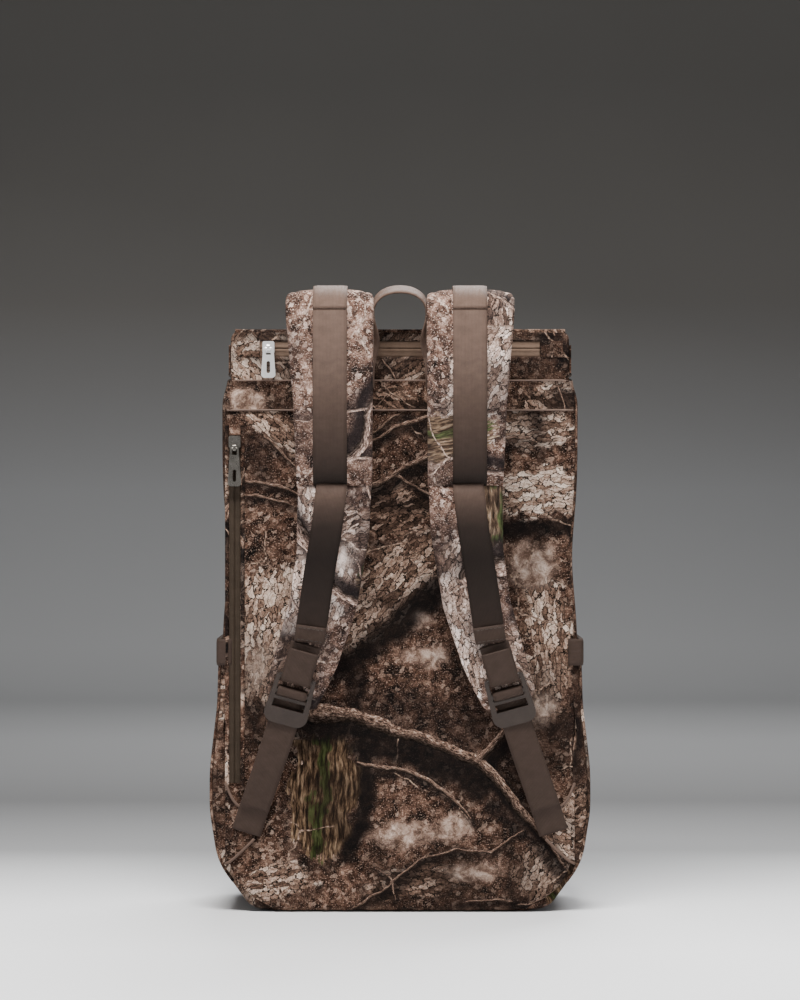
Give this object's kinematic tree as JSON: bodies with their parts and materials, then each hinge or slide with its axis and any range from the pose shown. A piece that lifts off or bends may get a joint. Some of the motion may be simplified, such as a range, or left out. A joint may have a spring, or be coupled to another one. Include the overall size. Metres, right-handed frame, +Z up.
{
  "type": "backpack",
  "caption": "Boxy flap-top rucksack with camouflage fabric, padded shoulder straps on ladder locks, zipped back and side openings, bottle pockets and a haul handle.",
  "frame": {"origin": "centre of the flat base", "axes": "+Z up, -Y towards the shoulder straps, +X to the right seen from the strap side"},
  "size_m": [0.322, 0.2658, 0.527],
  "materials": {
    "camo_fabric": "printed polyester weave, matt",
    "lining_fabric": "plain ripstop weave, matt",
    "foam": "closed-cell foam",
    "board": "stiff polyethylene sheet",
    "webbing": "ribbed polyester webbing",
    "zip_tape": "woven tape with a nylon coil",
    "buckle_plastic": "moulded acetal, satin",
    "bright_nickel": "bright nickel plating",
    "gunmetal": "dark nickel plating",
    "magnet_metal": "brushed"
  },
  "bodies": {
    "bag": {"back_foam": "foam", "back_panel": "camo_fabric", "bottom_board": "board", "bottom_panel": "camo_fabric", "frame_sheet": "board", "front_panel": "camo_fabric", "front_pocket": "camo_fabric", "front_webbings": "webbing", "front_zip_tape": "zip_tape", "handle_legs": "webbing", "laptop_sleeve": "lining_fabric", "left_pocket": "camo_fabric", "left_side_panel": "camo_fabric", "left_wing": "camo_fabric", "lining": "lining_fabric", "magnet_bases": "magnet_metal", "mouth_skirt": "lining_fabric", "pocket_bands": "webbing", "rear_collar": "camo_fabric", "right_pocket": "camo_fabric", "right_side_panel": "camo_fabric", "right_wing": "camo_fabric", "side_zip_tape": "zip_tape", "strap_roots": "camo_fabric", "top_zip_garages": "camo_fabric", "top_zip_tape": "zip_tape", "wing_webbings": "webbing", "yoke_panel": "camo_fabric"},
    "lid": {"lid_shell": "camo_fabric", "lid_board": "board", "lid_webbings": "webbing"},
    "left_tongue": {"left_tongue": "webbing", "left_magnet_cap": "magnet_metal"},
    "right_tongue": {"right_tongue": "webbing", "right_magnet_cap": "magnet_metal"},
    "handle": {"handle_loop": "webbing"},
    "top_slider": {"top_slider": "bright_nickel"},
    "top_pull": {"top_pull": "bright_nickel"},
    "side_slider": {"side_slider": "gunmetal"},
    "side_pull": {"side_pull": "gunmetal"},
    "front_slider": {"front_slider": "bright_nickel"},
    "front_pull": {"front_pull": "bright_nickel"},
    "left_strap": {"left_pad_upper": "camo_fabric", "left_pad_lower": "camo_fabric", "left_webbing_upper": "webbing", "left_webbing_lower": "webbing", "left_bar_loop": "webbing", "left_adjuster_webbing": "webbing"},
    "left_lock": {"left_ladder_lock": "buckle_plastic", "left_threaded_webbing": "webbing"},
    "right_strap": {"right_pad_upper": "camo_fabric", "right_pad_lower": "camo_fabric", "right_webbing_upper": "webbing", "right_webbing_lower": "webbing", "right_bar_loop": "webbing", "right_adjuster_webbing": "webbing"},
    "right_lock": {"right_ladder_lock": "buckle_plastic", "right_threaded_webbing": "webbing"}
  },
  "joints": [
    {"name": "lid_hinge", "type": "hinge", "parent": "bag", "child": "lid", "pos_m": [0, -0.075, 0.492], "axis": [1, 0, 0], "range_deg": [0, 90]},
    {"name": "left_tongue_flip", "type": "hinge", "parent": "lid", "child": "left_tongue", "pos_m": [-0.07, 0.08405, 0.3374], "axis": [1, 0, 0], "range_deg": [0, 90]},
    {"name": "right_tongue_flip", "type": "hinge", "parent": "lid", "child": "right_tongue", "pos_m": [0.07, 0.08405, 0.3374], "axis": [1, 0, 0], "range_deg": [0, 90]},
    {"name": "handle_swing", "type": "hinge", "parent": "bag", "child": "handle", "pos_m": [0, -0.087, 0.501], "axis": [1, 0, 0], "range_deg": [-75, 10]},
    {"name": "right_strap_swing", "type": "hinge", "parent": "bag", "child": "right_strap", "pos_m": [0.057, -0.08, 0.437], "axis": [-0.1946, -0.0081, 0.9809], "range_deg": [-2, 15]},
    {"name": "left_strap_swing", "type": "hinge", "parent": "bag", "child": "left_strap", "pos_m": [-0.057, -0.08, 0.437], "axis": [-0.1946, 0.0081, -0.9809], "range_deg": [-2, 15]},
    {"name": "right_lock_tilt", "type": "hinge", "parent": "right_strap", "child": "right_lock", "pos_m": [0.0865, -0.1115, 0.199], "axis": [-0.9615, 0.07, -0.2656], "range_deg": [0, 22]},
    {"name": "left_lock_tilt", "type": "hinge", "parent": "left_strap", "child": "left_lock", "pos_m": [-0.0865, -0.1115, 0.199], "axis": [-0.9615, -0.07, 0.2656], "range_deg": [0, 22]},
    {"name": "top_zip_slide", "type": "slide", "parent": "bag", "child": "top_slider", "axis": [1, 0, 0], "range_m": [0, 0.222]},
    {"name": "top_pull_swing", "type": "hinge", "parent": "top_slider", "child": "top_pull", "pos_m": [-0.111, -0.0809, 0.476], "axis": [-1, 0, 0], "range_deg": [0, 110]},
    {"name": "side_zip_slide", "type": "slide", "parent": "bag", "child": "side_slider", "axis": [0, 0, -1], "range_m": [0, 0.25]},
    {"name": "side_pull_swing", "type": "hinge", "parent": "side_slider", "child": "side_pull", "pos_m": [-0.1395, -0.0826, 0.3915], "axis": [-1, 0, 0], "range_deg": [0, 110]},
    {"name": "front_zip_slide", "type": "slide", "parent": "bag", "child": "front_slider", "axis": [1, 0, 0], "range_m": [0, 0.184]},
    {"name": "front_pull_swing", "type": "hinge", "parent": "front_slider", "child": "front_pull", "pos_m": [-0.092, 0.1056, 0.21], "axis": [1, 0, 0], "range_deg": [0, 110]}
  ]
}
